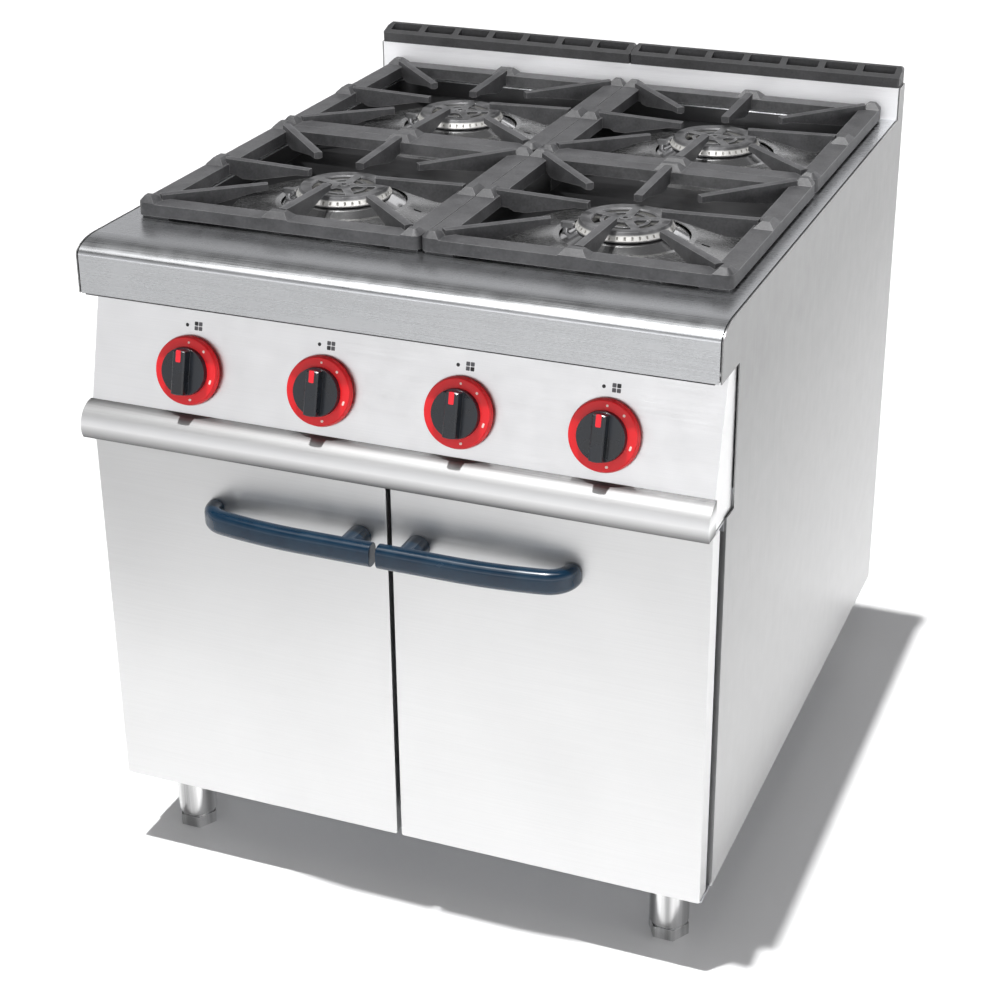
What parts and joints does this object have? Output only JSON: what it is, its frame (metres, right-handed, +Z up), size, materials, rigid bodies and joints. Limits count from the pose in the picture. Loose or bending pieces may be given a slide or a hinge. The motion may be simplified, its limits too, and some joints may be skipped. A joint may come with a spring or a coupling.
{
  "type": "commercial gas range",
  "caption": "Free-standing commercial gas range: open burners under cast pan supports on a stainless hob, sloping knob panel, rear flue and a closed cabinet with hinged doors on levelling legs.",
  "frame": {"origin": "on the floor under the centre of the bounding box", "axes": "+X to the user's right, +Y to the rear, +Z up"},
  "size_m": [0.8, 0.972, 0.92],
  "materials": {
    "hob_steel": "fine brushed, satin",
    "body_steel": "fine brushed, satin",
    "galvanised": "dull zinc-grey sheet",
    "dish_steel": "pressed sheet, satin",
    "cup_steel": "polished",
    "grate_iron": "matt black enamel on casting",
    "flue_iron": "matt enamelled casting",
    "crown_metal": "plain bright casting",
    "burner_iron": "bare casting",
    "knob_black": "smooth",
    "dial_red": "glossy, with pale printed marks",
    "handle_navy": "gloss lacquer",
    "brass": "machined",
    "pipe_steel": "drawn tube, dull",
    "zinc_screw": "zinc plated",
    "stainless_leg": "circumferentially brushed"
  },
  "bodies": {
    "frame": {"hob_top": "hob_steel", "hob_well": "hob_steel", "side_panel_left": "body_steel", "side_panel_right": "body_steel", "back_panel": "galvanised", "cabinet_floor": "galvanised", "heat_shield": "galvanised", "control_panel": "body_steel", "front_rail": "body_steel", "flue_riser": "hob_steel", "spill_dish_front_left": "dish_steel", "spill_dish_front_right": "dish_steel", "spill_dish_rear_left": "dish_steel", "spill_dish_rear_right": "dish_steel", "burner_cups": "cup_steel", "burner_body_front_left": "burner_iron", "burner_body_front_right": "burner_iron", "burner_body_rear_left": "burner_iron", "burner_body_rear_right": "burner_iron", "pilot_burners": "pipe_steel", "supply_pipes": "pipe_steel", "gas_manifold": "pipe_steel", "gas_valves": "brass", "leg_tubes": "stainless_leg", "hinge_brackets": "galvanised", "door_catches": "galvanised"},
    "door_left": {"door_skin_left": "body_steel", "door_liner_left": "galvanised", "door_handle_left": "handle_navy", "handle_screws_left": "zinc_screw"},
    "door_right": {"door_skin_right": "body_steel", "door_liner_right": "galvanised", "door_handle_right": "handle_navy", "handle_screws_right": "zinc_screw"},
    "spindle_1": {"valve_spindle_1": "brass"},
    "knob_1": {"knob_1": "knob_black", "dial_ring_1": "dial_red"},
    "spindle_2": {"valve_spindle_2": "brass"},
    "knob_2": {"knob_2": "knob_black", "dial_ring_2": "dial_red"},
    "spindle_3": {"valve_spindle_3": "brass"},
    "knob_3": {"knob_3": "knob_black", "dial_ring_3": "dial_red"},
    "spindle_4": {"valve_spindle_4": "brass"},
    "knob_4": {"knob_4": "knob_black", "dial_ring_4": "dial_red"},
    "grate_front_left": {"grate_front_left": "grate_iron"},
    "grate_front_right": {"grate_front_right": "grate_iron"},
    "grate_rear_left": {"grate_rear_left": "grate_iron"},
    "grate_rear_right": {"grate_rear_right": "grate_iron"},
    "crown_front_left": {"burner_crown_front_left": "crown_metal"},
    "crown_front_right": {"burner_crown_front_right": "crown_metal"},
    "crown_rear_left": {"burner_crown_rear_left": "crown_metal"},
    "crown_rear_right": {"burner_crown_rear_right": "crown_metal"},
    "grille_left": {"flue_grille_left": "flue_iron"},
    "grille_right": {"flue_grille_right": "flue_iron"},
    "foot_front_left": {"foot_front_left": "stainless_leg"},
    "foot_front_right": {"foot_front_right": "stainless_leg"},
    "foot_rear_left": {"foot_rear_left": "stainless_leg"},
    "foot_rear_right": {"foot_rear_right": "stainless_leg"}
  },
  "joints": [
    {"name": "door_left_hinge", "type": "hinge", "parent": "frame", "child": "door_left", "pos_m": [-0.388, -0.42, 0.353], "axis": [0, 0, -1], "range_deg": [0, 110]},
    {"name": "door_right_hinge", "type": "hinge", "parent": "frame", "child": "door_right", "pos_m": [0.388, -0.42, 0.353], "axis": [0, 0, 1], "range_deg": [0, 110]},
    {"name": "valve_1_turn", "type": "hinge", "parent": "frame", "child": "spindle_1", "pos_m": [-0.264, -0.42061, 0.6995], "axis": [0, -0.9678, 0.2517], "range_deg": [0, 180]},
    {"name": "knob_1_push", "type": "slide", "parent": "spindle_1", "child": "knob_1", "axis": [0, -0.9678, 0.2517], "range_m": [-0.004, 0], "stiffness_N_per_m": 400, "springref_m": 0.001},
    {"name": "valve_2_turn", "type": "hinge", "parent": "frame", "child": "spindle_2", "pos_m": [-0.088, -0.42061, 0.6995], "axis": [0, -0.9678, 0.2517], "range_deg": [0, 180]},
    {"name": "knob_2_push", "type": "slide", "parent": "spindle_2", "child": "knob_2", "axis": [0, -0.9678, 0.2517], "range_m": [-0.004, 0], "stiffness_N_per_m": 400, "springref_m": 0.001},
    {"name": "valve_3_turn", "type": "hinge", "parent": "frame", "child": "spindle_3", "pos_m": [0.088, -0.42061, 0.6995], "axis": [0, -0.9678, 0.2517], "range_deg": [0, 180]},
    {"name": "knob_3_push", "type": "slide", "parent": "spindle_3", "child": "knob_3", "axis": [0, -0.9678, 0.2517], "range_m": [-0.004, 0], "stiffness_N_per_m": 400, "springref_m": 0.001},
    {"name": "valve_4_turn", "type": "hinge", "parent": "frame", "child": "spindle_4", "pos_m": [0.264, -0.42061, 0.6995], "axis": [0, -0.9678, 0.2517], "range_deg": [0, 180]},
    {"name": "knob_4_push", "type": "slide", "parent": "spindle_4", "child": "knob_4", "axis": [0, -0.9678, 0.2517], "range_m": [-0.004, 0], "stiffness_N_per_m": 400, "springref_m": 0.001},
    {"name": "grate_front_left_lift", "type": "slide", "parent": "frame", "child": "grate_front_left", "axis": [0, 0, 1], "range_m": [0, 0.15]},
    {"name": "grate_front_right_lift", "type": "slide", "parent": "frame", "child": "grate_front_right", "axis": [0, 0, 1], "range_m": [0, 0.15]},
    {"name": "grate_rear_left_lift", "type": "slide", "parent": "frame", "child": "grate_rear_left", "axis": [0, 0, 1], "range_m": [0, 0.15]},
    {"name": "grate_rear_right_lift", "type": "slide", "parent": "frame", "child": "grate_rear_right", "axis": [0, 0, 1], "range_m": [0, 0.15]},
    {"name": "crown_front_left_lift", "type": "slide", "parent": "frame", "child": "crown_front_left", "axis": [0, 0, 1], "range_m": [0, 0.004]},
    {"name": "crown_front_right_lift", "type": "slide", "parent": "frame", "child": "crown_front_right", "axis": [0, 0, 1], "range_m": [0, 0.004]},
    {"name": "crown_rear_left_lift", "type": "slide", "parent": "frame", "child": "crown_rear_left", "axis": [0, 0, 1], "range_m": [0, 0.004]},
    {"name": "crown_rear_right_lift", "type": "slide", "parent": "frame", "child": "crown_rear_right", "axis": [0, 0, 1], "range_m": [0, 0.004]},
    {"name": "grille_left_lift", "type": "slide", "parent": "frame", "child": "grille_left", "axis": [0, 0, 1], "range_m": [0, 0.1]},
    {"name": "grille_right_lift", "type": "slide", "parent": "frame", "child": "grille_right", "axis": [0, 0, 1], "range_m": [0, 0.1]},
    {"name": "foot_front_left_level", "type": "slide", "parent": "frame", "child": "foot_front_left", "axis": [0, 0, 1], "range_m": [-0.03, 0]},
    {"name": "foot_front_right_level", "type": "slide", "parent": "frame", "child": "foot_front_right", "axis": [0, 0, 1], "range_m": [-0.03, 0]},
    {"name": "foot_rear_left_level", "type": "slide", "parent": "frame", "child": "foot_rear_left", "axis": [0, 0, 1], "range_m": [-0.03, 0]},
    {"name": "foot_rear_right_level", "type": "slide", "parent": "frame", "child": "foot_rear_right", "axis": [0, 0, 1], "range_m": [-0.03, 0]}
  ]
}
